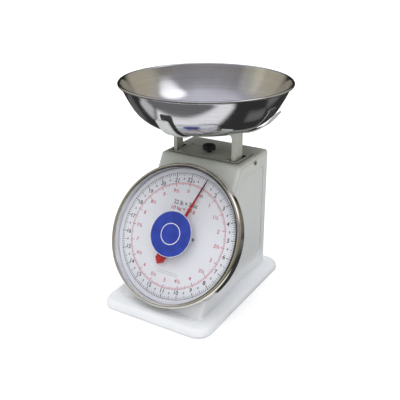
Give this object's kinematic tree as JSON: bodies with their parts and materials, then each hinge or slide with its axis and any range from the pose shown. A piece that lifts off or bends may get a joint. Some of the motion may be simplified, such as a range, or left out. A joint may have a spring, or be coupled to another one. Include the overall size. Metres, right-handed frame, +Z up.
{
  "type": "kitchen scale",
  "caption": "Mechanical spring kitchen scale: wedge housing on a flanged base, large tilted round dial, sprung platform bracket and loose steel bowl.",
  "frame": {"origin": "middle of the overall footprint at table level", "axes": "+Z up, the dial faces -Y, +X is the right-hand side seen from the dial"},
  "size_m": [0.28, 0.3148, 0.356],
  "materials": {
    "painted_steel": "satin off-white enamel",
    "drum_enamel": "satin",
    "dial_face": "printed white",
    "bezel_chrome": "polished",
    "polished_steel": "mirror polished",
    "zinc_steel": "zinc plated",
    "brass_parts": "machined",
    "clear_lens": "clear",
    "badge_blue": "gloss",
    "pointer_red": "gloss red",
    "knob_black": "satin black",
    "foot_rubber": "matte"
  },
  "bodies": {
    "housing": {"base_pan": "painted_steel", "rubber_feet": "foot_rubber", "base_screws": "zinc_steel", "housing_shell": "painted_steel", "top_screws": "zinc_steel", "side_screws": "zinc_steel", "chassis_frame": "zinc_steel", "rear_pivot_pins": "zinc_steel", "pivot_clips": "zinc_steel", "dial_drum": "drum_enamel", "drum_screws": "zinc_steel", "dial_plate": "dial_face", "dial_posts": "brass_parts", "dial_screws": "zinc_steel", "bezel_ring": "bezel_chrome", "bezel_collar": "zinc_steel", "dial_lens": "clear_lens", "lens_badge": "badge_blue", "front_bearing_plate": "zinc_steel", "rear_bearing_plate": "zinc_steel", "plate_spacers": "brass_parts", "plate_bolts": "zinc_steel"},
    "load_carrier": {"load_bracket": "painted_steel", "carrier_pins": "zinc_steel", "load_crossbar": "zinc_steel", "crossbar_screws": "zinc_steel", "holder_rivets": "zinc_steel", "bowl_holder": "painted_steel", "lower_spring_plugs": "zinc_steel", "drive_rack": "brass_parts", "rack_arm": "zinc_steel", "rack_arm_screws": "zinc_steel", "rack_rivets": "zinc_steel"},
    "bowl": {"mixing_bowl": "polished_steel"},
    "pointer": {"pointer_needle": "pointer_red", "pointer_hub": "brass_parts", "pointer_shaft": "zinc_steel", "drive_pinion": "brass_parts"},
    "zero_adjuster": {"zero_knob": "knob_black", "adjuster_screw": "zinc_steel", "screw_clip": "zinc_steel"},
    "hanger": {"spring_hanger": "zinc_steel", "upper_spring_plugs": "zinc_steel", "main_springs": "zinc_steel"},
    "upper_lever": {"upper_link": "zinc_steel"},
    "lower_lever": {"lower_link": "zinc_steel"}
  },
  "joints": [
    {"name": "platform_travel", "type": "slide", "parent": "housing", "child": "load_carrier", "axis": [0, 0, -1], "range_m": [-0.00094, 0.0172], "stiffness_N_per_m": 5400, "springref_m": -0.00224, "deforming": ["main_springs"]},
    {"name": "bowl_lift", "type": "slide", "parent": "load_carrier", "child": "bowl", "axis": [0, 0, 1], "range_m": [0, 0.12]},
    {"name": "pointer_turn", "type": "hinge", "parent": "housing", "child": "pointer", "pos_m": [0, -0.0746, 0.1202], "axis": [0, 0.866, -0.5], "range_deg": [-19, 342]},
    {"name": "upper_link_swing", "type": "hinge", "parent": "housing", "child": "upper_lever", "pos_m": [0, 0.086, 0.188], "axis": [1, 0, 0], "range_deg": [-0.8, 13.7]},
    {"name": "lower_link_swing", "type": "hinge", "parent": "housing", "child": "lower_lever", "pos_m": [0, 0.086, 0.138], "axis": [1, 0, 0], "range_deg": [-0.8, 13.7]},
    {"name": "zero_knob_turn", "type": "hinge", "parent": "housing", "child": "zero_adjuster", "pos_m": [0, 0.0287, 0.237], "axis": [0, 0, 1], "range_deg": [-361, 361]},
    {"name": "hanger_lift", "type": "slide", "parent": "housing", "child": "hanger", "axis": [0, 0, 1], "range_m": [-0.001, 0.001]}
  ],
  "couplings": [
    {"joint": "pointer_turn", "follows": "platform_travel", "rad_per_m": 346.41},
    {"joint": "upper_link_swing", "follows": "platform_travel", "rad_per_m": 13.823},
    {"joint": "lower_link_swing", "follows": "platform_travel", "rad_per_m": 13.823},
    {"joint": "zero_knob_turn", "follows": "hanger_lift", "rad_per_m": 6283.2}
  ]
}
